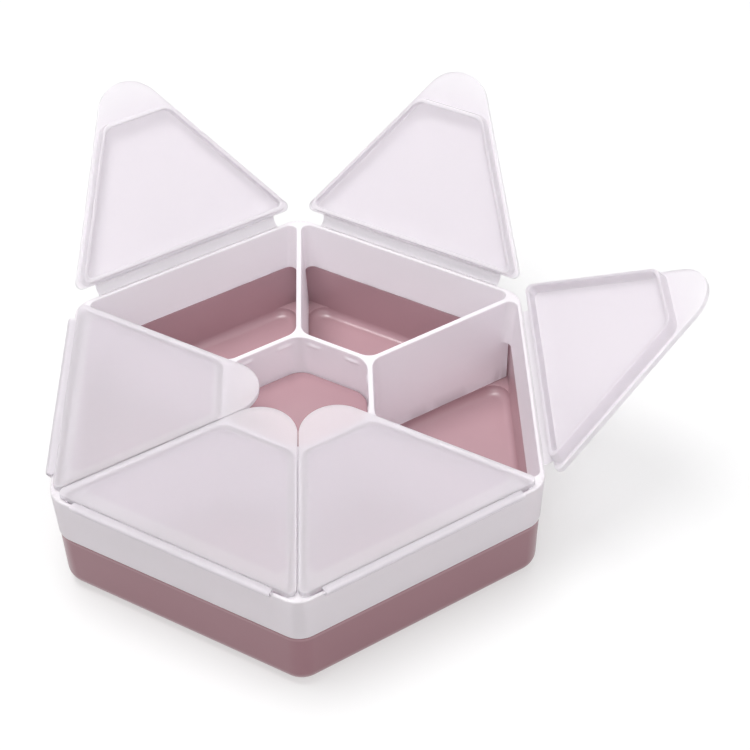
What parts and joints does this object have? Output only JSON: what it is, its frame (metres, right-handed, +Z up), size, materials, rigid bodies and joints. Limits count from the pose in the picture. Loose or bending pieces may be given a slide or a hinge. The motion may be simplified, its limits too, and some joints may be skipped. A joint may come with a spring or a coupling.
{
  "type": "hexagonal compartment organiser",
  "caption": "Low hexagonal organiser: opaque mauve tray, lift-off frosted compartment frame around an open hub, and wedge-shaped flip lids on thin living hinges.",
  "frame": {"origin": "centre of the hexagonal underside, on the surface it stands on", "axes": "+Z up along the tray's axis; +X out through one flat side, +Y towards a corner"},
  "size_m": [0.1552, 0.1469, 0.0694],
  "materials": {
    "mauve_plastic": "opaque mauve polypropylene, softly glossy",
    "frosted_plastic": "translucent frosted natural polypropylene, satin"
  },
  "bodies": {
    "base": {"base_tray": "mauve_plastic"},
    "frame": {"compartment_frame": "frosted_plastic", "hinge_web_right": "frosted_plastic", "hinge_web_back_right": "frosted_plastic", "hinge_web_back_left": "frosted_plastic", "hinge_web_left": "frosted_plastic", "hinge_web_front_left": "frosted_plastic", "hinge_web_front_right": "frosted_plastic"},
    "lid_right": {"lid_right": "frosted_plastic"},
    "lid_back_right": {"lid_back_right": "frosted_plastic"},
    "lid_back_left": {"lid_back_left": "frosted_plastic"},
    "lid_left": {"lid_left": "frosted_plastic"},
    "lid_front_left": {"lid_front_left": "frosted_plastic"},
    "lid_front_right": {"lid_front_right": "frosted_plastic"}
  },
  "joints": [
    {"name": "frame_lift", "type": "slide", "parent": "base", "child": "frame", "axis": [0, 0, 1], "range_m": [0, 0.03]},
    {"name": "lid_right_hinge", "type": "hinge", "parent": "frame", "child": "lid_right", "pos_m": [0.0583, 0, 0.0324], "axis": [0, 1, 0], "range_deg": [-141, 0]},
    {"name": "lid_back_right_hinge", "type": "hinge", "parent": "frame", "child": "lid_back_right", "pos_m": [0.02915, 0.05049, 0.0324], "axis": [-0.866, 0.5, 0], "range_deg": [-130.7, 0]},
    {"name": "lid_back_left_hinge", "type": "hinge", "parent": "frame", "child": "lid_back_left", "pos_m": [-0.02915, 0.05049, 0.0324], "axis": [-0.866, -0.5, 0], "range_deg": [-133.6, 0]},
    {"name": "lid_left_hinge", "type": "hinge", "parent": "frame", "child": "lid_left", "pos_m": [-0.0583, 0, 0.0324], "axis": [0, -1, 0], "range_deg": [0, 140]},
    {"name": "lid_front_left_hinge", "type": "hinge", "parent": "frame", "child": "lid_front_left", "pos_m": [-0.02915, -0.05049, 0.0324], "axis": [0.866, -0.5, 0], "range_deg": [0, 140]},
    {"name": "lid_front_right_hinge", "type": "hinge", "parent": "frame", "child": "lid_front_right", "pos_m": [0.02915, -0.05049, 0.0324], "axis": [0.866, 0.5, 0], "range_deg": [0, 140]}
  ]
}
